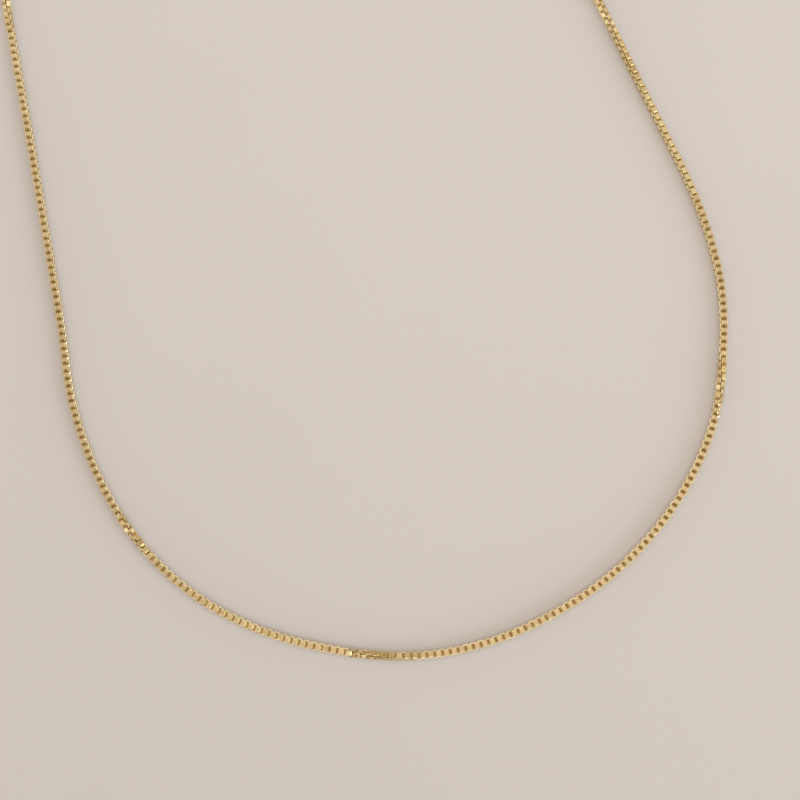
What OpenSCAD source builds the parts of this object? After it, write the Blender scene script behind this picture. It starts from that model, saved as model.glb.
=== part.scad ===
// A fine box chain necklace, closed by its clasp and lying on a flat surface.
// +Y is up in the photograph, +Z is away from the surface, and the origin is on
// the surface at the middle of the loop's outline.

/* [Chain] */
// Width of the chain from one flat face to the opposite one
chain_w = 1.2; // [1.1:0.05:1.6]
// Width of the metal strip that each link is bent from
strip_w = 0.66; // [0.5:0.02:0.7]
// Thickness of that strip
strip_t = 0.24; // [0.18:0.02:0.28]

/* [Clasp] */
// Length of the clasp's barrel without its eyes
barrel_l = 7; // [5:0.5:10]
// Diameter of the barrel
barrel_d = 2.8; // [2.4:0.1:3.6]
// Length of the rounding at each end of the barrel
dome_l = 0.9; // [0.6:0.1:1.4]
// Hole through the eye at each end of the barrel
eye_hole_d = 1.05; // [1:0.05:1.3]
// Wire that each eye is bent from
eye_wire = 0.45; // [0.4:0.05:0.6]

/* [Jump rings] */
// Hole through each jump ring
ring_hole_d = 1.6; // [1.5:0.1:2.2]
// Wire that each jump ring is bent from
ring_wire = 0.4; // [0.3:0.02:0.42]

/* [Fit] */
// Play left between pieces that hook through each other
play = 0.1; // [0.06:0.01:0.12]

/* [Hidden] */

gold = [0.86, 0.72, 0.46];

// Middle of the clasp on the surface, and how far its axis is turned from +X
clasp_at = [-41.5, 138];
clasp_turn = 18;
// How far each end of the chain turns in from that axis, towards the loop
link_turn = 10;

// The chain's route over the surface, from the clasp's left end to its right end.
// Each row is [x, y, roll]: roll turns the chain's upper face to the right of the
// way along it, so a step of 90 rolls the chain onto its next flat face.
ROUTE = [
    [-54, 131.5, 90], [-60, 124.5, 90], [-64, 116, 90], [-65.5, 108.5, 90],
    [-65.5, 98.5, 90], [-64, 88, 90], [-62, 77.5, 90], [-59.5, 65, 90],
    [-57.5, 54.5, 0], [-54, 37, 0], [-51, 21.5, 0], [-49, 11, 0],
    [-47, -0.5, 0], [-43.5, -10, 0], [-40.5, -15.5, 0], [-35.5, -22, 90],
    [-28.5, -28, 90], [-21, -32, 90], [-8, -35.5, 90], [-4, -36, 150],
    [3.5, -36, 180], [13, -34, 180], [22, -30, 180], [29.5, -25, 180],
    [38, -16, 180], [44.5, -3, 180], [46, 7, 90], [46, 15.5, 90],
    [43.5, 26.5, 90], [41, 33, 78], [38.5, 38.5, 84], [34.5, 47, 90],
    [29.5, 58, 45], [25, 68, 0], [19.5, 80, 0], [9, 103, 0],
    [2, 117.5, 0], [-3.5, 126, 0], [-10.5, 133, 0], [-19.5, 138, 0],
    [-28, 140, 0]
];

// Most that two rings of the swept chain may lie apart, in chain widths, and most that
// the way may turn and the section may roll from one to the next
ring_step = 10;
ring_turn = 8;
ring_roll = 45;
// Corners of a meshed round wire, and steps round a full ring or barrel
wire_fn = 24;
round_fn = 64;
// Steps in the rounding at each end of the barrel
dome_steps = 6;

// How high the barrel's axis and the flat chain's middle lie
barrel_z = barrel_d / 2;
chain_z = chain_w / 2;
// Middle radii of the eyes and the jump rings
eye_r = (eye_hole_d + eye_wire) / 2;
ring_r = (ring_hole_d + ring_wire) / 2;
// The middle of each eye, from the middle of the clasp: the hole just clears the barrel
eye_x = barrel_l / 2 + eye_hole_d / 2 + play / 2;
// Each jump ring leans from inside its eye down to the chain's last link
pull = eye_hole_d / 2 - ring_wire / 2 - play;
lean = asin((barrel_z - chain_z) / (pull + 2 * ring_r));
hook_x = eye_x + (pull + 2 * ring_r) * cos(lean);
// Room for the last link's turn, and for the way the jump ring's wire bends back beside it
ring_bend = ring_hole_d / 2 - sqrt(ring_hole_d ^ 2 / 4 - strip_w ^ 2 / 4);
link_room = ring_bend + strip_w / 2 * tan(link_turn);
// The last link is long enough for that, for the wire and for its neighbour's end
end_link_l = link_room + ring_wire + 3 * strip_t + 3 * play;
// From the hook to the last link's near end, and to where the swept chain starts,
// half way into that link's far end
link_near = -ring_wire / 2 - play - link_room - strip_t;
chain_near = link_near + end_link_l - strip_t / 2;
// Outer corners of a link
link_corner_r = 1.4 * strip_t;

// The outline that the links fill as they cross each other, looking along the chain
flat = strip_w / 2;
out = chain_w / 2;
SECTION = [
    [flat, -out], [out, -flat], [out, flat], [flat, out],
    [-flat, out], [-out, flat], [-out, -flat], [-flat, -out]
];

// The whole way along the chain, with an end at each side of the clasp
function way_at(angle) = [cos(angle), sin(angle)];
start_way = -way_at(clasp_turn + link_turn);
end_way = -way_at(clasp_turn - link_turn);
START = clasp_at - hook_x * way_at(clasp_turn) + chain_near * start_way;
END = clasp_at + hook_x * way_at(clasp_turn) - chain_near * end_way;
WAY = concat(
    [[START.x, START.y, ROUTE[0][2]]],
    ROUTE,
    [[END.x, END.y, ROUTE[len(ROUTE) - 1][2]]]
);
last = len(WAY) - 1;
function place(i) = [WAY[i].x, WAY[i].y];
SPANS = [for (i = [0 : last - 1]) norm(place(i + 1) - place(i))];

// Direction of travel at each point, as on the arc through it and its two neighbours
function heading(i) = i == 0 ? start_way : i == last ? end_way
    : ((place(i) - place(i - 1)) * SPANS[i] / SPANS[i - 1]
        + (place(i + 1) - place(i)) * SPANS[i - 1] / SPANS[i]) / (SPANS[i] + SPANS[i - 1]);

// A point u of the way along span i, and the direction of travel there
function on_span(i, u) = (2 * u ^ 3 - 3 * u ^ 2 + 1) * place(i)
    + (u ^ 3 - 2 * u ^ 2 + u) * SPANS[i] * heading(i)
    + (3 * u ^ 2 - 2 * u ^ 3) * place(i + 1)
    + (u ^ 3 - u ^ 2) * SPANS[i] * heading(i + 1);
function way_on_span(i, u) = (6 * u ^ 2 - 6 * u) * (place(i) - place(i + 1))
    + (3 * u ^ 2 - 4 * u + 1) * SPANS[i] * heading(i)
    + (3 * u ^ 2 - 2 * u) * SPANS[i] * heading(i + 1);
function roll_on_span(i, u) = WAY[i][2] + (WAY[i + 1][2] - WAY[i][2]) * u;

// How far the way turns along span i, and the steps that the sweep takes there
function turn_on_span(i) = abs(atan2(cross(heading(i), heading(i + 1)), heading(i) * heading(i + 1)));
function steps_on_span(i) = ceil(max(
    SPANS[i] / (ring_step * chain_w),
    turn_on_span(i) / ring_turn,
    abs(WAY[i + 1][2] - WAY[i][2]) / ring_roll
));

// Stations of the sweep, as [span, share of the span]
STATIONS = concat(
    [for (i = [0 : last - 1], steps = [steps_on_span(i)], k = [0 : steps - 1]) [i, k / steps]],
    [[last - 1, 1]]
);
MIDDLES = [for (s = STATIONS) on_span(s[0], s[1])];
// The middle of the loop's outline, which becomes the origin
centre = [
    (min([for (p = MIDDLES) p.x]) + max([for (p = MIDDLES) p.x])) / 2,
    (min([for (p = MIDDLES) p.y]) + max([for (p = MIDDLES) p.y])) / 2
];

// How high the middle of a rolled section lies when its lowest corner is on the surface
function rest_height(roll) = max([for (c = SECTION) c.x * sin(roll) - c.y * cos(roll)]);

// Corners of the section at a station, each [x, y, z]
function ring(s) =
    let (
        middle = on_span(s[0], s[1]),
        way = way_on_span(s[0], s[1]) / norm(way_on_span(s[0], s[1])),
        right = [way.y, -way.x],
        roll = roll_on_span(s[0], s[1]),
        z = rest_height(roll)
    )
    [for (c = SECTION)
        let (across = c.x * cos(roll) + c.y * sin(roll))
        [
            middle.x + across * right.x,
            middle.y + across * right.y,
            z - c.x * sin(roll) + c.y * cos(roll)
        ]];

// The chain's last link on the +x side of the clasp, standing on its edge: a strip bent
// to a round-cornered oblong, which the jump ring's wire passes through
module end_link() {
    translate([hook_x, 0, 0])
        rotate([0, 0, -link_turn])
            translate([link_near, strip_w / 2, 0])
                rotate([90, 0, 0])
                    linear_extrude(strip_w)
                        difference() {
                            round_oblong([0, 0], [end_link_l, chain_w], link_corner_r);
                            round_oblong(
                                [strip_t, strip_t],
                                [end_link_l - strip_t, chain_w - strip_t],
                                link_corner_r - strip_t
                            );
                        }
}

// An oblong between two corners, with its own corners rounded by arcs
module round_oblong(low, high, r) {
    translate([low.x + r, low.y]) square([high.x - low.x - 2 * r, high.y - low.y]);
    translate([low.x, low.y + r]) square([high.x - low.x, high.y - low.y - 2 * r]);
    for (x = [low.x + r, high.x - r], y = [low.y + r, high.y - r])
        translate([x, y]) circle(r = r, $fn = wire_fn);
}

// The chain's links as one rolled, swept bar
module swept_chain() {
    sides = len(SECTION);
    count = len(STATIONS);
    polyhedron(
        points = [for (s = STATIONS) each ring(s)],
        faces = concat(
            [[for (k = [0 : sides - 1]) k]],
            [for (j = [0 : count - 2], k = [0 : sides - 1])
                let (a = j * sides, n = (k + 1) % sides)
                each [
                    [a + k, a + sides + k, a + sides + n],
                    [a + k, a + sides + n, a + n]
                ]],
            [[for (k = [sides - 1 : -1 : 0]) (count - 1) * sides + k]]
        )
    );
}

// Puts what is drawn along the clasp's own axis at the clasp's place
module at_clasp() {
    translate([clasp_at.x, clasp_at.y, 0]) rotate([0, 0, clasp_turn]) children();
}

module round_wire_ring(r, wire) {
    rotate_extrude($fn = round_fn) translate([r, 0]) circle(d = wire, $fn = wire_fn);
}

// The barrel with rounded ends, and an upright eye at each end of it
module barrel() {
    shoulder = barrel_l / 2 - dome_l;
    dome = [for (k = [0 : dome_steps])
        let (a = 90 * k / dome_steps)
        [barrel_d / 2 * cos(a), shoulder + dome_l * sin(a)]];
    rotate([0, 90, 0])
        rotate_extrude($fn = round_fn)
            polygon(concat([[0, -barrel_l / 2]],
                [for (k = [dome_steps - 1 : -1 : 0]) [dome[k].x, -dome[k].y]],
                [for (k = [0 : dome_steps - 1]) dome[k]],
                [[0, barrel_l / 2]]));
}

// A jump ring on the +x side of the clasp, leaning down to the chain's last link
module jump_ring() {
    translate([eye_x, 0, barrel_z])
        rotate([0, lean, 0])
            translate([pull + ring_r, 0, 0])
                round_wire_ring(ring_r, ring_wire);
}

module chain() {
    color(gold) translate([-centre.x, -centre.y, 0]) {
        swept_chain();
        at_clasp() {
            end_link();
            mirror([1, 0, 0]) end_link();
        }
    }
}

module clasp() {
    color(gold) translate([-centre.x, -centre.y, 0]) at_clasp()
        translate([0, 0, barrel_z]) {
            barrel();
            for (side = [-1, 1])
                translate([side * eye_x, 0, 0])
                    rotate([90, 0, 0])
                        round_wire_ring(eye_r, eye_wire);
        }
}

module jump_ring_left() {
    color(gold) translate([-centre.x, -centre.y, 0]) at_clasp() mirror([1, 0, 0]) jump_ring();
}

module jump_ring_right() {
    color(gold) translate([-centre.x, -centre.y, 0]) at_clasp() jump_ring();
}

chain();
clasp();
jump_ring_left();
jump_ring_right();
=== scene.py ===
# %% [markdown]
# # Dressing a fine box chain necklace
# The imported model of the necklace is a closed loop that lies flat: a swept bar where the
# chain runs, a barrel clasp and two jump rings. This lesson turns it into the real thing,
# a gold-plated chain of some eight hundred small square links, and photographs it from
# above on a pale surface. The frame is loaded first, because every size and place below
# has to agree with it.

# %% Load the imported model
import math
import random
from bisect import bisect_right

import bmesh
import bpy
from mathutils import Matrix, Vector


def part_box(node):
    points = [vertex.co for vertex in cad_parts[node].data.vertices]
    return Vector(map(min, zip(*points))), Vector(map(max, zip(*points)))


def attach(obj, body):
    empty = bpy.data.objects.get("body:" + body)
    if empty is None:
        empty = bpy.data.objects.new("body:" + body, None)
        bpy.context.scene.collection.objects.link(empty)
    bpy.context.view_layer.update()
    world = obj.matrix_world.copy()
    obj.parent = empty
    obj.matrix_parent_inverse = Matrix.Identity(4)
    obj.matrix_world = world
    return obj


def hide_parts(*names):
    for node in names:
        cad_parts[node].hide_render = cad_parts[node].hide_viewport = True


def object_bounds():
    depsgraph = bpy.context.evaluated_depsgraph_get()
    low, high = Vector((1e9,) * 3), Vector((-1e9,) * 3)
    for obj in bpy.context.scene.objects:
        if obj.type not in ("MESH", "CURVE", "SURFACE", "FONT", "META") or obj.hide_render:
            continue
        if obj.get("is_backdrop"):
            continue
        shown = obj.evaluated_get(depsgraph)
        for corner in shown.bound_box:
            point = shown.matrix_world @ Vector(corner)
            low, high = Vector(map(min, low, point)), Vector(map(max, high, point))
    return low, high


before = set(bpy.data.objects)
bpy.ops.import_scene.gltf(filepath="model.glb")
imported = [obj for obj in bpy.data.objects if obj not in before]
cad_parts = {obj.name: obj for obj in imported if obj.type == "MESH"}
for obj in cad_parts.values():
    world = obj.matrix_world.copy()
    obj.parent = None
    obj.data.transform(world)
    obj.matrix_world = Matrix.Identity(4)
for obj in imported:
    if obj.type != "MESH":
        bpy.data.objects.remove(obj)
CAD_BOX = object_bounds()
MM = 0.001
print("packed nodes:", sorted(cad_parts))
print("loop, in mm:", [round((high - low) / MM, 2) for low, high in zip(*CAD_BOX)])

# %% [markdown]
# ## The camera
# The picture is taken almost straight down from a tripod: the camera leans about seven
# degrees towards the near edge and two to the right. A look-at constraint would do, but
# three directions written out as a turn show how a camera is built: it looks along its own
# minus Z, and its own Y is up in the picture.

# %% Stand the camera over the front of the loop
PICTURE_MIDDLE = Vector((9.78, -52.03, 0.6)) * MM
CAMERA_DISTANCE = 237.8 * MM
LEAN_RIGHT = math.radians(2.0)
LEAN_NEAR = math.radians(7.3)
SENSOR = 24
LENS = 50
NEAREST_SEEN = 10 * MM

camera = bpy.data.objects.new("camera", bpy.data.cameras.new("camera"))
bpy.context.scene.collection.objects.link(camera)
bpy.context.scene.camera = camera
camera.data.sensor_width = SENSOR
camera.data.lens = LENS
camera.data.clip_start = NEAREST_SEEN
backwards = Vector((math.tan(LEAN_RIGHT), -math.tan(LEAN_NEAR), 1)).normalized()
picture_right = Vector((0, 1, 0)).cross(backwards).normalized()
picture_up = backwards.cross(picture_right)
camera.matrix_world = (
    Matrix.Translation(PICTURE_MIDDLE + CAMERA_DISTANCE * backwards)
    @ Matrix((picture_right, picture_up, backwards)).transposed().to_4x4()
)
print("camera height, in mm:", round(camera.matrix_world.translation.z / MM, 1))

# %% [markdown]
# ## Shader maths in plain Python
# A finish is a graph of nodes. Wiring each Math node by hand hides the idea, so a small
# class wraps a socket and lets Python's own operators add the nodes. Everything else, a
# noise, a ramp, a bump, comes from one method that takes the node's type, its settings and
# the values of its sockets.

# %% A socket that can be added and multiplied
class Value:
    def __init__(self, finish, socket):
        self.finish = finish
        self.socket = socket

    def maths(self, operation, first, second):
        return self.finish.node("ShaderNodeMath", {"operation": operation}, {0: first, 1: second})

    def __add__(self, other):
        return self.maths("ADD", self, other)

    def __sub__(self, other):
        return self.maths("SUBTRACT", self, other)

    def __rsub__(self, other):
        return self.maths("SUBTRACT", other, self)

    def __mul__(self, other):
        return self.maths("MULTIPLY", self, other)

    __radd__ = __add__
    __rmul__ = __mul__

# %% A finish, and the one method that adds any node
class Finish:
    def __init__(self, owner, shader):
        owner.use_nodes = True
        self.owner = owner
        self.tree = owner.node_tree
        self.shader = self.tree.nodes[shader]

    def node(self, kind, settings=None, sockets=None, out=0):
        made = self.tree.nodes.new(kind)
        for name, value in (settings or {}).items():
            setattr(made, name, value)
        for name, value in (sockets or {}).items():
            self.feed(made.inputs[name], value)
        return Value(self, made.outputs[out])

    def feed(self, socket, value):
        if isinstance(value, Value):
            self.tree.links.new(value.socket, socket)
        else:
            socket.default_value = value

    def surface(self, **values):
        for name, value in values.items():
            self.feed(self.shader.inputs[name.replace("_", " ")], value)

    def coordinates(self, kind):
        return self.node("ShaderNodeTexCoord", None, None, kind)

    def stretch(self, vector, scale):
        return self.node("ShaderNodeMapping", None, {"Vector": vector, "Scale": scale})

    def along(self, vector, way):
        settings = {"operation": "DOT_PRODUCT"}
        return self.node("ShaderNodeVectorMath", settings, {0: vector, 1: way}, "Value")

    def attribute(self, name):
        return self.node("ShaderNodeAttribute", {"attribute_name": name}, None, "Fac")

    def noise(self, where, scale, detail=3, roughness=0.5):
        sockets = {"Vector": where, "Scale": scale, "Detail": detail, "Roughness": roughness}
        return self.node("ShaderNodeTexNoise", None, sockets)

    def ramp(self, value, low, high):
        sockets = {"Value": value, "From Min": low, "From Max": high}
        return self.node("ShaderNodeMapRange", {"interpolation_type": "SMOOTHSTEP"}, sockets)

    def blend(self, share, first, second):
        sockets = {0: share, 6: first, 7: second}
        return self.node("ShaderNodeMix", {"data_type": "RGBA"}, sockets, 2)

    def bump(self, strength, depth, height):
        sockets = {"Strength": strength, "Distance": depth, "Height": height}
        return self.node("ShaderNodeBump", None, sockets, "Normal")

# %% [markdown]
# ## The gold finish
# Light gold plating on drawn brass strip is a metal through and through: its colour lives
# in the reflection. What keeps it from looking like a render is small. The strip keeps
# fine lines from the die that it was drawn through, and the plating wears to a brighter,
# smoother metal along the edges. The links' sloping shoulders are darkened to olive-brown
# with painted shade, and their end walls and the faces inside get half as much painted
# shade. Each link gets its own slight tone, too, because no two are turned quite alike.

# %% The colours, grain and clouds that all the gold shares
GOLD = (0.83, 0.66, 0.36, 1)
GOLD_WORN = (0.92, 0.77, 0.47, 1)
# The olive-brown of the painted shade on the links' shoulders and inner faces.
GOLD_IN_SHADE = (0.45, 0.30, 0.09, 1)
GRAIN_SCALE = 9000
CLOUD_SCALE = 260
NEW_ROUGHNESS = 0.12


def plating(name):
    finish = Finish(bpy.data.materials.new(name), "Principled BSDF")
    here = finish.coordinates("Object")
    return finish, finish.noise(here, GRAIN_SCALE), finish.noise(here, CLOUD_SCALE)

# %% The gold of the links
DIE_LINES = (2.0, 45.0, 1.0)
DIE_DEPTH = 0.0015 * MM
# Where the painted shade on the shoulders and the faces inside starts and fills, and how much of
# the olive-brown it takes.
SHADE_STARTS = 0.3
SHADE_FULL = 0.9
SHADE_SHARE = 0.7
GRAIN_RUBBED = (0.62, 0.8)


def link_gold():
    finish, grain, cloud = plating("chain_gold")
    shoulder = finish.attribute("shoulder")
    edge = finish.attribute("edge")
    tone = finish.attribute("tone")
    strip = finish.node("ShaderNodeUVMap", {"uv_map": "strip"})
    lines = finish.noise(finish.stretch(strip, DIE_LINES), 1.0, 2)
    # Painted shade: the shoulders and the faces inside turn olive-brown, broken up a little by
    # clouds and grain.
    shaded = shoulder + 0.35 * cloud - 0.15 * grain
    shade_mask = finish.ramp(shaded, SHADE_STARTS, SHADE_FULL)
    worn = edge * 0.7 + finish.ramp(grain, *GRAIN_RUBBED) * 0.25
    plated = finish.blend(tone * 0.5 + cloud * 0.3, GOLD, GOLD_WORN)
    bright = finish.blend(worn, plated, GOLD_WORN)
    dulled = 0.08 * tone + 0.08 * lines + 0.1 * shade_mask
    finish.surface(
        Base_Color=finish.blend(shade_mask * SHADE_SHARE, bright, GOLD_IN_SHADE),
        Metallic=1.0,
        Roughness=NEW_ROUGHNESS + dulled - 0.04 * worn,
        Normal=finish.bump(0.5, DIE_DEPTH, lines * 0.7 + grain * 0.4),
    )
    print("nodes in the links' gold:", len(finish.tree.nodes))
    return finish.owner

# %% The polished gold of the clasp and the jump rings
SCRATCH_SCALE = 2600
SCRATCH_STRETCH = (1, 1, 0.08)
SCRATCH_DEPTH = 0.002 * MM
SCRATCH_WORN = (0.58, 0.72)


def polished_gold(name):
    finish, grain, cloud = plating(name)
    drawn_out = finish.stretch(finish.coordinates("Object"), SCRATCH_STRETCH)
    scratches = finish.noise(drawn_out, SCRATCH_SCALE, 4, 0.6)
    worn = finish.ramp(scratches, *SCRATCH_WORN)
    finish.surface(
        Base_Color=finish.blend(cloud * 0.6 + worn * 0.4, GOLD, GOLD_WORN),
        Metallic=1.0,
        Roughness=NEW_ROUGHNESS + 0.12 * cloud + 0.12 * worn,
        Normal=finish.bump(0.4, SCRATCH_DEPTH, scratches * 0.8 + grain * 0.2),
    )
    print("nodes in", name + ":", len(finish.tree.nodes))
    return finish.owner

# %% [markdown]
# ## The way that the chain runs
# The chain is a real length of something, so it can't be drawn as a shape: links are set
# one after the other along a way over the surface. The way passes through the same points
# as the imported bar, in millimetres, each with the roll that tells which face of the chain
# looks up there. Between two points it is a smooth cubic. The bar looks the same after a
# quarter turn and the links don't, so at the upper right they lean the way that lets their
# sides show as in the photograph.

# %% The points of the way, x, y and roll
ROUTE = [
    (-54, 131.5, 90), (-60, 124.5, 90), (-64, 116, 90), (-65.5, 108.5, 90),
    (-65.5, 98.5, 90), (-64, 88, 90), (-62, 77.5, 90), (-59.5, 65, 90),
    (-57.5, 54.5, 0), (-54, 37, 0), (-51, 21.5, 0), (-49, 11, 0),
    (-47, -0.5, 0), (-43.5, -10, 0), (-40.5, -15.5, 0), (-35.5, -22, 90),
    (-28.5, -28, 90), (-21, -32, 90), (-8, -35.5, 90), (-4, -36, 150),
    (3.5, -36, 180), (13, -34, 180), (22, -30, 180), (29.5, -25, 180),
    (38, -16, 180), (44.5, -3, 180), (46, 7, 90), (46, 15.5, 90),
    (43.5, 26.5, 92), (41, 33, 95), (38.5, 38.5, 96), (34.5, 47, 100),
    (29.5, 58, 135), (25, 68, 180), (19.5, 80, 180), (9, 103, 180),
    (2, 117.5, 180), (-3.5, 126, 180), (-10.5, 133, 180), (-19.5, 138, 180),
    (-28, 140, 180),
]
CLASP_AT = Vector((-41.5, 138))
CLASP_TURN = math.radians(18)
LINK_TURN = math.radians(10)
print("points of the way:", len(ROUTE))

# %% [markdown]
# The way begins and ends at the chain's two last links, and their place follows from the
# fastening. A jump ring is pulled out of each eye of the clasp, leans down towards the
# surface and hooks through the last link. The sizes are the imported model's, in millimetres.

# %% Where each jump ring hooks into the chain's last link
CHAIN_W = 1.2
STRIP_W = 0.66
STRIP_T = 0.24
BARREL_L = 7
BARREL_D = 2.8
EYE_HOLE_D = 1.05
RING_HOLE_D = 1.6
RING_WIRE = 0.4
PLAY = 0.1

RING_R = (RING_HOLE_D + RING_WIRE) / 2
EYE_X = BARREL_L / 2 + EYE_HOLE_D / 2 + PLAY / 2
PULL = EYE_HOLE_D / 2 - RING_WIRE / 2 - PLAY
LEAN = math.asin((BARREL_D - CHAIN_W) / 2 / (PULL + 2 * RING_R))
HOOK_X = EYE_X + (PULL + 2 * RING_R) * math.cos(LEAN)
print("from the clasp's middle to each hook, in mm:", round(HOOK_X, 3))

# %% How long the last link is, and where the row of links begins
RING_BEND = RING_HOLE_D / 2 - math.sqrt(RING_HOLE_D ** 2 / 4 - STRIP_W ** 2 / 4)
LINK_ROOM = RING_BEND + STRIP_W / 2 * math.tan(LINK_TURN)
END_LINK_L = LINK_ROOM + RING_WIRE + 3 * STRIP_T + 3 * PLAY
LINK_NEAR = -RING_WIRE / 2 - PLAY - LINK_ROOM - STRIP_T
CHAIN_NEAR = LINK_NEAR + END_LINK_L - STRIP_T / 2
print("length of the last link, in mm:", round(END_LINK_L, 3))

# %% Put the ends and the points in order
def way_at(angle):
    return Vector((math.cos(angle), math.sin(angle)))


start_way = -way_at(CLASP_TURN + LINK_TURN)
end_way = -way_at(CLASP_TURN - LINK_TURN)
left_hook = CLASP_AT - HOOK_X * way_at(CLASP_TURN)
right_hook = CLASP_AT + HOOK_X * way_at(CLASP_TURN)
points = [left_hook + CHAIN_NEAR * start_way]
points += [Vector(row[:2]) for row in ROUTE]
points += [right_hook - CHAIN_NEAR * end_way]
rolls = [ROUTE[0][2]] + [row[2] for row in ROUTE] + [ROUTE[-1][2]]
spans = [(b - a).length for a, b in zip(points, points[1:])]
print("longest span, in mm:", round(max(spans), 2))

# %% A smooth cubic between two points
def heading(i):
    if i in (0, len(points) - 1):
        return start_way if i == 0 else end_way
    before, after = spans[i - 1], spans[i]
    back, on = points[i] - points[i - 1], points[i + 1] - points[i]
    return (back * after / before + on * before / after) / (before + after)


def on_span(i, u):
    start, end = points[i], points[i + 1]
    return (
        (2 * u ** 3 - 3 * u ** 2 + 1) * start
        + (u ** 3 - 2 * u ** 2 + u) * spans[i] * heading(i)
        + (3 * u ** 2 - 2 * u ** 3) * end
        + (u ** 3 - u ** 2) * spans[i] * heading(i + 1)
    )

# %% Walk the way in small steps and note how far each one is
STEPS = 60
stations = [(i, k) for i in range(len(spans)) for k in range(STEPS)]
stations.append((len(spans) - 1, STEPS))
places = [on_span(i, k / STEPS) for i, k in stations]
step_rolls = [rolls[i] + (rolls[i + 1] - rolls[i]) * k / STEPS for i, k in stations]
walked = [0.0]
for a, b in zip(places, places[1:]):
    walked.append(walked[-1] + (b - a).length)
CHAIN_LENGTH = walked[-1]
print("length of the way, in mm:", round(CHAIN_LENGTH, 2))

# %% [markdown]
# The route was drawn from the photograph's middle, and the frame's origin is the middle of
# the loop. The clasp is the one thing whose place is known in both, so it gives the shift.

# %% Bring the route into the frame
clasp_low, clasp_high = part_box("clasp")
SHIFT = (clasp_low + clasp_high).to_2d() / 2 / MM - CLASP_AT
print("shift of the route, in mm:", tuple(round(v, 3) for v in SHIFT))


def on_chain(distance):
    """Gives the place, the way and the roll at this distance along the chain."""
    k = min(max(bisect_right(walked, distance) - 1, 0), len(places) - 2)
    share = (distance - walked[k]) / (walked[k + 1] - walked[k])
    way = (places[k + 1] - places[k]).normalized()
    place = places[k].lerp(places[k + 1], share)
    roll = step_rolls[k] + (step_rolls[k + 1] - step_rolls[k]) * share
    return place, way, math.radians(roll)

# %% [markdown]
# ## One link
# A box chain's link is a short piece of flat strip bent round into an oblong, so that it
# has a window on two sides and plain strip on the other four. It could be swept along an
# oblong curve, but cutting it from a block keeps it to a few dozen faces. Operators act on
# what is selected, so the helpers first deselect everything and then pick faces or edges by
# their place or their normal. A normal's length is one, so MOSTLY and HARDLY are shares of
# it that point one way.

# %% Helpers for modelling in edit mode
HAIR = 0.0001 * MM
MOSTLY = 0.9
HARDLY = 0.1


def only(*objects):
    bpy.ops.object.select_all(action="DESELECT")
    for obj in objects:
        obj.select_set(True)
    bpy.context.view_layer.objects.active = objects[0]


def pick(obj, kind, wanted):
    """Selects the faces or edges that wanted says yes to, and returns how many they are."""
    bpy.ops.mesh.select_mode(type=kind)
    bpy.ops.mesh.select_all(action="DESELECT")
    shape = bmesh.from_edit_mesh(obj.data)
    parts = shape.faces if kind == "FACE" else shape.edges
    chosen = [part for part in parts if wanted(part)]
    for part in chosen:
        part.select_set(True)
    shape.select_flush_mode()
    bmesh.update_edit_mesh(obj.data)
    return len(chosen)


def bevel(width, steps=1):
    bpy.ops.mesh.bevel(
        offset=width * MM, segments=steps, affect="EDGES", clamp_overlap=False
    )


def smooth(obj, angle):
    only(obj)
    bpy.ops.object.shade_smooth_by_angle(angle=angle)

# %% Say which edges are meant
def near(a, b):
    return abs(a - b) < HAIR


def level(edge, axis):
    """Says whether both ends of the edge lie at one place along the axis."""
    first, second = edge.verts
    return near(first.co[axis], second.co[axis])


def on_outer_rim(edge):
    """Says whether the edge lies between a flat side and a wall that looks outwards."""
    sides = [face for face in edge.link_faces if abs(face.normal.y) > MOSTLY]
    walls = [face for face in edge.link_faces if abs(face.normal.y) < HARDLY]
    if len(sides) != 1 or len(walls) != 1:
        return False
    return walls[0].calc_center_median().dot(walls[0].normal) > 0

# %% [markdown]
# The block starts too high. Its four corners are bevelled, and pressing it down to its
# height turns the bevels into shoulders that slope about thirty degrees. A small heel
# softens the foot of each shoulder. Then both sides are inset by the strip's thickness,
# which leaves no room for a heel inside, so its points are merged there. The sides are
# bridged into a window, and the outer edges are broken. The link is made once, and every
# other one is a copy.

# %% Press a block's bevelled corners into shoulders
def link_block(name, length, height, strip_w, corner, steps):
    corner_l, corner_h = corner
    pressed = corner_h / corner_l
    size = Vector((length, strip_w, height / pressed)) * MM
    bpy.ops.object.select_all(action="DESELECT")
    bpy.ops.mesh.primitive_cube_add(size=1, scale=size)
    link = bpy.context.object
    link.name = link.data.name = name
    bpy.ops.object.transform_apply()
    bpy.ops.object.mode_set(mode="EDIT")
    pick(link, "EDGE", lambda e: level(e, 0) and level(e, 2))
    bevel(corner_l, steps)
    bpy.ops.mesh.select_all(action="SELECT")
    bpy.ops.transform.resize(value=(1, 1, pressed))
    return link

# %% Soften the feet and open the window
QUAD = 4


def soften_feet(link, length, heel):
    end = length / 2 * MM
    pick(link, "EDGE", lambda e: level(e, 2) and all(near(abs(v.co.x), end) for v in e.verts))
    bevel(heel)


def open_window(link, strip_t, heel):
    pick(link, "FACE", lambda f: abs(f.normal.y) > MOSTLY)
    bpy.ops.mesh.inset(thickness=strip_t * MM, use_even_offset=True)
    bpy.ops.mesh.remove_doubles(threshold=heel * MM)
    pick(link, "FACE", lambda f: len(f.verts) > QUAD)
    bpy.ops.mesh.bridge_edge_loops()

# %% Make one link
LINK_L = 1.08
LINK_W = 1.14
LINK_STRIP_W = 0.66
LINK_STRIP_T = 0.19
LINK_CORNER = (0.26, 0.15)
HEEL = 0.05
EDGE_BREAK = 0.06


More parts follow.
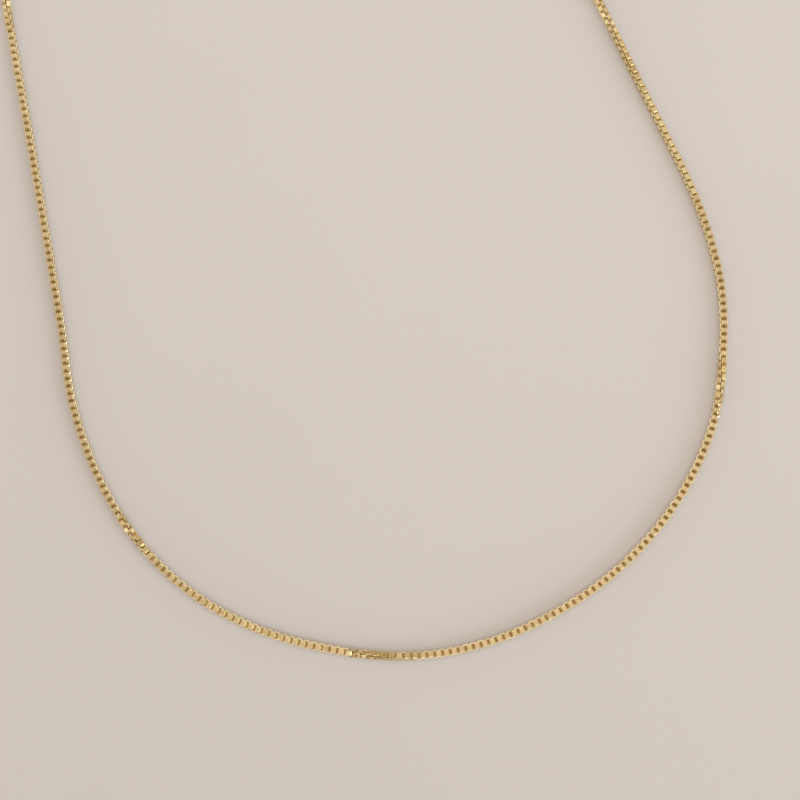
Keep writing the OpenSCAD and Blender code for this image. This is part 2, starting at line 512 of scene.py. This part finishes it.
def make_link(name, length, height, strip_w, strip_t, corner, steps=1, heel=0):
    link = link_block(name, length, height, strip_w, corner, steps)
    if heel:
        soften_feet(link, length, heel)
    open_window(link, strip_t, heel)
    pick(link, "EDGE", on_outer_rim)
    bevel(EDGE_BREAK)
    bpy.ops.object.mode_set(mode="OBJECT")
    return link


link = make_link("link", LINK_L, LINK_W, LINK_STRIP_W, LINK_STRIP_T, LINK_CORNER, heel=HEEL)
print("faces in one link:", len(link.data.polygons), "vertices:", len(link.data.vertices))

# %% [markdown]
# ## Marks that the finish can read
# A finish can't see by itself which faces of a link take painted shade, or where the
# strip's fine lines should run. So the link carries marks: which faces are shoulders or lie
# inside, for the painted shade, which are broken edges, and a map that unrolls the strip.
# They are made once and copied with the link.

# %% Mark the shoulders and the faces inside for painted shade, and the broken edges
INNER_SHADE = 0.5
LEAST_SLOPE = 0.3
MOST_SLOPE = 0.7
LEAST_BREAK = 0.5


def mark_link(link, length, height, strip_t):
    mesh = link.data
    inner_z = (height / 2 - strip_t) * MM + HAIR
    shoulder = mesh.attributes.new("shoulder", "FLOAT", "FACE")
    edge = mesh.attributes.new("edge", "FLOAT", "FACE")
    # Painted shade is marked in full on the shoulders and at half on the end walls and the faces
    # inside.
    for face, shaded, broken in zip(mesh.polygons, shoulder.data, edge.data):
        slope, sideways = abs(face.normal.x), abs(face.normal.y)
        if LEAST_BREAK < sideways < MOSTLY:
            broken.value = 1.0
        elif sideways < HARDLY and LEAST_SLOPE < slope < MOST_SLOPE:
            shaded.value = 1.0
        elif sideways < HARDLY and (slope > MOST_SLOPE or abs(face.center.z) < inner_z):
            shaded.value = INNER_SHADE
    unroll(mesh, length - strip_t, height - strip_t)

# %% Unroll the strip into a map, in millimetres
def unroll(mesh, middle_l, middle_h):
    """Gives every corner its place round the strip and its place across it."""
    strip = mesh.uv_layers.new(name="strip")
    around = 2 * (middle_l + middle_h)
    for face in mesh.polygons:
        along = []
        for corner in face.vertices:
            co = mesh.vertices[corner].co
            along.append(around * math.atan2(co.z * middle_l, co.x * middle_h) / (2 * math.pi))
        for loop, corner, u in zip(face.loop_indices, face.vertices, along):
            if max(along) - u > around / 2:
                u += around
            co = mesh.vertices[corner].co
            strip.data[loop].uv = (u, co.y / MM)

# %% Mark the link, and make the longer one for each end
FACET_ANGLE = math.radians(20)
BEND_ANGLE = math.radians(35)
END_CORNER = (1.4 * STRIP_T, 1.4 * STRIP_T)
END_CORNER_STEPS = 3

mark_link(link, LINK_L, LINK_W, LINK_STRIP_T)
smooth(link, FACET_ANGLE)
end_link = make_link(
    "end_link", END_LINK_L, CHAIN_W, STRIP_W, STRIP_T, END_CORNER, steps=END_CORNER_STEPS
)
mark_link(end_link, END_LINK_L, CHAIN_W, STRIP_T)
smooth(end_link, BEND_ANGLE)
print("faces in an end link:", len(end_link.data.polygons))

# %% [markdown]
# ## Setting the links
# Each link stands a quarter turn from its neighbours, with its end inside their windows,
# so the pitch is the link's length less two thicknesses and a little slack. The number of
# links is even, because both end links stand upright. A little play is let in at random, a
# hair along the chain and a degree or two of roll, turn and nod, the way a real chain
# lies: too neat a row looks like a drawing. The draws are seeded, so every run sets the
# same chain.

# %% Count the links
LINK_SLACK = 0.15
PITCH_WANTED = LINK_L - 2 * LINK_STRIP_T - LINK_SLACK
FIRST_LINK = LINK_L / 2 - LINK_STRIP_T - STRIP_T / 2
LINKS = 2 * round((CHAIN_LENGTH - 2 * FIRST_LINK) / PITCH_WANTED / 2)
PITCH = (CHAIN_LENGTH - 2 * FIRST_LINK) / (LINKS - 1)
print("links:", LINKS, "pitch, in mm:", round(PITCH, 4))

# %% Find the place of each link
PLAY_ALONG = 0.007
PLAY_ROLL = math.radians(2.0)
PLAY_TURN = math.radians(1.2)
PLAY_NOD = math.radians(1.5)
SEED = 18
random.seed(SEED)


def play(most):
    return random.uniform(-most, most)


def rest_height(roll):
    """Gives the height of the chain's middle when its lowest corner is on the surface."""
    flat, out = LINK_STRIP_W / 2, LINK_W / 2
    lean, rise = abs(math.sin(roll)), abs(math.cos(roll))
    return max(out * lean + flat * rise, flat * lean + out * rise)


def link_place(number):
    place, way, roll = on_chain(FIRST_LINK + number * PITCH + play(PLAY_ALONG))
    roll += play(PLAY_ROLL)
    turn = math.atan2(way.y, way.x) + play(PLAY_TURN)
    nod = play(PLAY_NOD)
    middle = (place + SHIFT).to_3d() * MM
    middle.z = rest_height(roll) * MM
    return (
        Matrix.Translation(middle)
        @ Matrix.Rotation(turn, 4, "Z")
        @ Matrix.Rotation(nod, 4, "Y")
        @ Matrix.Rotation(roll + number % 2 * math.pi / 2, 4, "X")
    )


def end_link_place(hook, way):
    middle = (hook + (LINK_NEAR + END_LINK_L / 2) * way + SHIFT).to_3d() * MM
    middle.z = CHAIN_W / 2 * MM
    return Matrix.Translation(middle) @ Matrix.Rotation(math.atan2(way.y, way.x), 4, "Z")

# %% Set a copy at each place and join them to one chain
def set_link(pattern, place):
    twin = pattern.copy()
    twin.data = pattern.data.copy()
    twin.data.transform(place)
    tone = twin.data.attributes.new("tone", "FLOAT", "FACE")
    tone.data.foreach_set("value", [random.random()] * len(twin.data.polygons))
    bpy.context.scene.collection.objects.link(twin)
    return twin


set_links = [set_link(link, link_place(number)) for number in range(LINKS)]
set_links.append(set_link(end_link, end_link_place(left_hook, start_way)))
set_links.append(set_link(end_link, end_link_place(right_hook, -end_way)))
only(*set_links)
bpy.ops.object.join()
chain = bpy.context.object
chain.name = chain.data.name = "box_chain"
chain.data.materials.append(link_gold())
bpy.data.objects.remove(link)
bpy.data.objects.remove(end_link)
print("chain triangles:", sum(len(face.vertices) - 2 for face in chain.data.polygons))

# %% [markdown]
# ## The clasp and the jump rings
# The fastening lies behind the neck, where nobody looks, so it is plain: a small barrel
# with an upright eye at each end, and a ring of round wire through each eye. The barrel is
# drawn out of a cylinder and domed ring by ring, and a fine line round its middle shows
# where its halves meet. The eyes are welded to it by a union, and points that the union
# leaves a hair apart are merged. Each jump ring is one turn of wire, spun not quite all the
# way round, because the real one has a saw cut in it.

# %% Spin a circle into a ring of wire
ROUND = 48
WIRE_SIDES = 12
WIRE_ANGLE = math.radians(40)
MERGE = 0.001 * MM
FULL_TURN = 2 * math.pi


def spun_ring(name, radius, wire, turn):
    bpy.ops.object.select_all(action="DESELECT")
    bpy.ops.mesh.primitive_circle_add(
        vertices=WIRE_SIDES, radius=wire / 2 * MM, fill_type="NGON",
        location=(radius * MM, 0, 0), rotation=(math.pi / 2, 0, 0),
    )
    ring = bpy.context.object
    ring.name = ring.data.name = name
    bpy.ops.object.transform_apply()
    bpy.ops.object.mode_set(mode="EDIT")
    bpy.ops.mesh.select_all(action="SELECT")
    if turn >= FULL_TURN:
        bpy.ops.mesh.delete(type="ONLY_FACE")
        bpy.ops.mesh.select_all(action="SELECT")
    bpy.ops.mesh.spin(steps=ROUND, angle=turn, center=(0, 0, 0), axis=(0, 0, 1))
    bpy.ops.mesh.select_all(action="SELECT")
    bpy.ops.mesh.remove_doubles(threshold=MERGE)
    bpy.ops.mesh.normals_make_consistent(inside=False)
    bpy.ops.object.mode_set(mode="OBJECT")
    smooth(ring, WIRE_ANGLE)
    return ring

# %% The two jump rings
SAW_CUT = math.radians(3)
CUT_AT = math.radians(75)

clasp_frame = (
    Matrix.Translation((CLASP_AT + SHIFT).to_3d() * MM)
    @ Matrix.Rotation(CLASP_TURN, 4, "Z")
)


def jump_ring(name, side):
    ring = spun_ring(name, RING_R, RING_WIRE, FULL_TURN - SAW_CUT)
    lean = (
        Matrix.Rotation(0 if side > 0 else math.pi, 4, "Z")
        @ Matrix.Translation(Vector((EYE_X, 0, BARREL_D / 2)) * MM)
        @ Matrix.Rotation(LEAN, 4, "Y")
        @ Matrix.Translation(Vector((PULL + RING_R, 0, 0)) * MM)
        @ Matrix.Rotation(CUT_AT, 4, "Z")
    )
    ring.data.transform(clasp_frame @ lean)
    ring.data.materials.append(ring_gold)
    return ring


ring_gold = polished_gold("ring_gold")
rings = {
    "jump_ring_right": jump_ring("wire_ring_right", 1),
    "jump_ring_left": jump_ring("wire_ring_left", -1),
}
print("jump ring faces:", len(rings["jump_ring_left"].data.polygons))

# %% Draw out a dome ring by ring
DOME_L = 0.9
DOME_STEPS = 6


def dome(body, side):
    pick(body, "FACE", lambda f: f.normal.x * side > MOSTLY)
    for k in range(1, DOME_STEPS):
        low, high = (math.radians(90 * j / DOME_STEPS) for j in (k - 1, k))
        rise = DOME_L * (math.sin(high) - math.sin(low)) * side * MM
        bpy.ops.mesh.extrude_region_move(TRANSFORM_OT_translate={"value": (rise, 0, 0)})
        shrink = math.cos(high) / math.cos(low)
        bpy.ops.transform.resize(value=(1, shrink, shrink))
    bpy.ops.mesh.poke()
    shape = bmesh.from_edit_mesh(body.data)
    tip = max(shape.verts, key=lambda v: v.co.x * side)
    tip.co.x = side * BARREL_L / 2 * MM
    bmesh.update_edit_mesh(body.data)

# %% Cut the fine line where the halves meet
PARTING_W = 0.12
PARTING_DEPTH = 0.06


def parting_line(body):
    for x in (-PARTING_W / 2, 0, PARTING_W / 2):
        bpy.ops.mesh.select_all(action="SELECT")
        bpy.ops.mesh.bisect(plane_co=(x * MM, 0, 0), plane_no=(1, 0, 0), threshold=MERGE)
    cut = pick(body, "EDGE", lambda e: all(abs(v.co.x) < MERGE for v in e.verts))
    print("edges round the parting line:", cut)
    shrink = 1 - PARTING_DEPTH / (BARREL_D / 2)
    bpy.ops.transform.resize(value=(1, shrink, shrink))

# %% Make the barrel
def barrel():
    bpy.ops.object.select_all(action="DESELECT")
    bpy.ops.mesh.primitive_cylinder_add(
        vertices=ROUND, radius=BARREL_D / 2 * MM, depth=(BARREL_L - 2 * DOME_L) * MM,
        rotation=(0, math.pi / 2, 0),
    )
    body = bpy.context.object
    body.name = body.data.name = "barrel_clasp"
    bpy.ops.object.transform_apply()
    bpy.ops.object.mode_set(mode="EDIT")
    for side in (-1, 1):
        dome(body, side)
    parting_line(body)
    bpy.ops.object.mode_set(mode="OBJECT")
    return body


clasp = barrel()
print("barrel faces:", len(clasp.data.polygons))

# %% Weld an eye to each end of it
EYE_WIRE = 0.45

for side in (-1, 1):
    eye = spun_ring("eye", (EYE_HOLE_D + EYE_WIRE) / 2, EYE_WIRE, FULL_TURN)
    eye.data.transform(
        Matrix.Translation(Vector((side * EYE_X, 0, 0)) * MM)
        @ Matrix.Rotation(math.pi / 2, 4, "X")
    )
    only(clasp)
    union = clasp.modifiers.new("eye", "BOOLEAN")
    union.operation = "UNION"
    union.object = eye
    bpy.ops.object.modifier_apply(modifier=union.name)
    bpy.data.objects.remove(eye)
bpy.ops.object.mode_set(mode="EDIT")
bpy.ops.mesh.select_all(action="SELECT")
bpy.ops.mesh.remove_doubles(threshold=MERGE)
bpy.ops.object.mode_set(mode="OBJECT")
clasp.data.transform(clasp_frame @ Matrix.Translation((0, 0, BARREL_D / 2 * MM)))
smooth(clasp, BEND_ANGLE)
clasp.data.materials.append(polished_gold("clasp_gold"))
print("clasp faces:", len(clasp.data.polygons))

# %% [markdown]
# ## The pieces take the imported nodes' places
# Every piece stands for one imported node, whose part is hidden, and rides on the
# necklace's one body.

# %% Ride and replace
def stand_for(piece, node):
    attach(piece, "root")
    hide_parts(node)
    print(piece.name, "stands for", node)


stand_for(chain, "chain")
stand_for(clasp, "clasp")
for node, ring in rings.items():
    stand_for(ring, node)

# %% [markdown]
# ## The surface
# The chain lies on a smooth pale surface. It is one big plane with painted light: it is
# painted a little brighter at the far right and darker towards the lower left, and faint
# wide clouds keep it from being one flat grey.

# %% The pale surface
SURFACE_SIZE = 12
SURFACE = (0.865, 0.855, 0.88, 1)
SURFACE_SHADE = (0.725, 0.712, 0.73, 1)
SURFACE_CLOUDS = 12
SURFACE_ROUGHNESS = 0.7
BRIGHTER_WAY = (0.6, 0.8, 0)
BRIGHTENS = (-0.2, 0.1)


def pale_surface():
    finish = Finish(bpy.data.materials.new("pale_surface"), "Principled BSDF")
    here = finish.coordinates("Object")
    cloud = finish.noise(here, SURFACE_CLOUDS)
    # Painted light: the surface's colour brightens towards the far right and darkens towards the
    # lower left.
    painted_light = finish.ramp(finish.along(here, BRIGHTER_WAY), *BRIGHTENS)
    finish.surface(
        Base_Color=finish.blend(painted_light * 0.85 + cloud * 0.3, SURFACE_SHADE, SURFACE),
        Roughness=SURFACE_ROUGHNESS,
    )
    return finish.owner


bpy.ops.object.select_all(action="DESELECT")
bpy.ops.mesh.primitive_plane_add(size=SURFACE_SIZE)
ground = bpy.context.object
ground.name = "surface"
ground.data.materials.append(pale_surface())
ground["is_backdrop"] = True
print("surface, in m:", [round(v, 2) for v in ground.dimensions])

# %% [markdown]
# ## The room
# Polished metal shows nothing but what is round it, so the room matters more than the
# window. It could be built of walls, but a sky whose colour follows its direction looks the
# same from here and doesn't stand in the window's light. The links' flat tops show the
# ceiling, which is brightest towards the near right and in a ring of lamps round it. Their
# sloping shoulders show the dim walls and become the brown squares of the photograph, and
# their broken edges catch the bright skirting.

# %% The ceiling, the walls and the skirting
NEAR_WAY = (0.5, -0.87, 0)
CEILING = (0.56, 0.465, 0.385, 1)
NEAR_CEILING = (0.90, 0.79, 0.70, 1)
CEILING_CHANGES = (-0.22, 0.12)
FAR_LAMPS = (0.88, 0.84, 0.80, 1)
NEAR_LAMPS = (1.08, 1.03, 1.05, 1)
LAMPS_CHANGE = (-0.2, 0.2)
# The brown squares on the links' shoulders come partly from these dim walls and partly from the
# painted shade in the links' gold.
WALLS = (0.43, 0.343, 0.23, 1)
END_WALLS = (0.80, 0.68, 0.54, 1)
WALLS_CHANGE = (0.1, 0.6)
SKIRTING = (1.3, 1.23, 1.18, 1)
SKIRTING_TOP = (0.16, 0.29)
WALL_TOP = (0.77, 0.84)
LAMPS_RIM = (0.89, 0.95)

world = bpy.data.worlds.new("room")
bpy.context.scene.world = world
room = Finish(world, "Background")
direction = room.coordinates("Generated")
sideways = room.along(direction, (1, 0, 0))
up = room.along(direction, (0, 0, 1))
nearer = room.along(direction, NEAR_WAY)
ceiling = room.blend(room.ramp(nearer, *CEILING_CHANGES), CEILING, NEAR_CEILING)
lamps = room.blend(room.ramp(nearer, *LAMPS_CHANGE), FAR_LAMPS, NEAR_LAMPS)
walls = room.blend(room.ramp(sideways * sideways, *WALLS_CHANGE), WALLS, END_WALLS)
lower = room.blend(room.ramp(up, *SKIRTING_TOP), SKIRTING, walls)
upper = room.blend(room.ramp(up, *LAMPS_RIM), lamps, ceiling)
room.surface(Color=room.blend(room.ramp(up, *WALL_TOP), lower, upper), Strength=1.0)
print("nodes in the room:", len(room.tree.nodes))

# %% [markdown]
# ## The window
# A soft window stands low at the lower right. A sun lamp with a wide angle is used for it:
# its light comes from one side of the sky and not from one spot, so it is as strong at one
# end of the surface as at the other. The picture is shown with the plain view transform,
# so that a colour comes out as it was mixed.

# %% Light the surface from the lower right
WINDOW_SIDE = math.radians(-30)
WINDOW_HEIGHT = math.radians(18)
WINDOW_SPREAD = math.radians(30)
WINDOW_STRENGTH = 1.03
WINDOW_COLOUR = (0.72, 0.90, 1.0)

window = bpy.data.objects.new("window", bpy.data.lights.new("window", "SUN"))
bpy.context.scene.collection.objects.link(window)
window.data.energy = WINDOW_STRENGTH
window.data.angle = WINDOW_SPREAD
window.data.color = WINDOW_COLOUR
towards_window = Vector((
    math.cos(WINDOW_SIDE) * math.cos(WINDOW_HEIGHT),
    math.sin(WINDOW_SIDE) * math.cos(WINDOW_HEIGHT),
    math.sin(WINDOW_HEIGHT),
))
window.matrix_world = towards_window.to_track_quat("Z", "Y").to_matrix().to_4x4()
bpy.context.scene.view_settings.view_transform = "Standard"
print("towards the window:", tuple(round(v, 2) for v in towards_window))

# %% [markdown]
# ## Measure the boxes
# The dressed necklace has to fill the imported one's box and no more, so both are measured
# and printed.

# %% Measure and finish
DRESSED_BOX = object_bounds()
boxes = {
    "cad": [list(corner) for corner in CAD_BOX],
    "visual": [list(corner) for corner in DRESSED_BOX],
}
for name, (low, high) in boxes.items():
    print(name, "box, in mm:", [round((b - a) / MM, 2) for a, b in zip(low, high)])
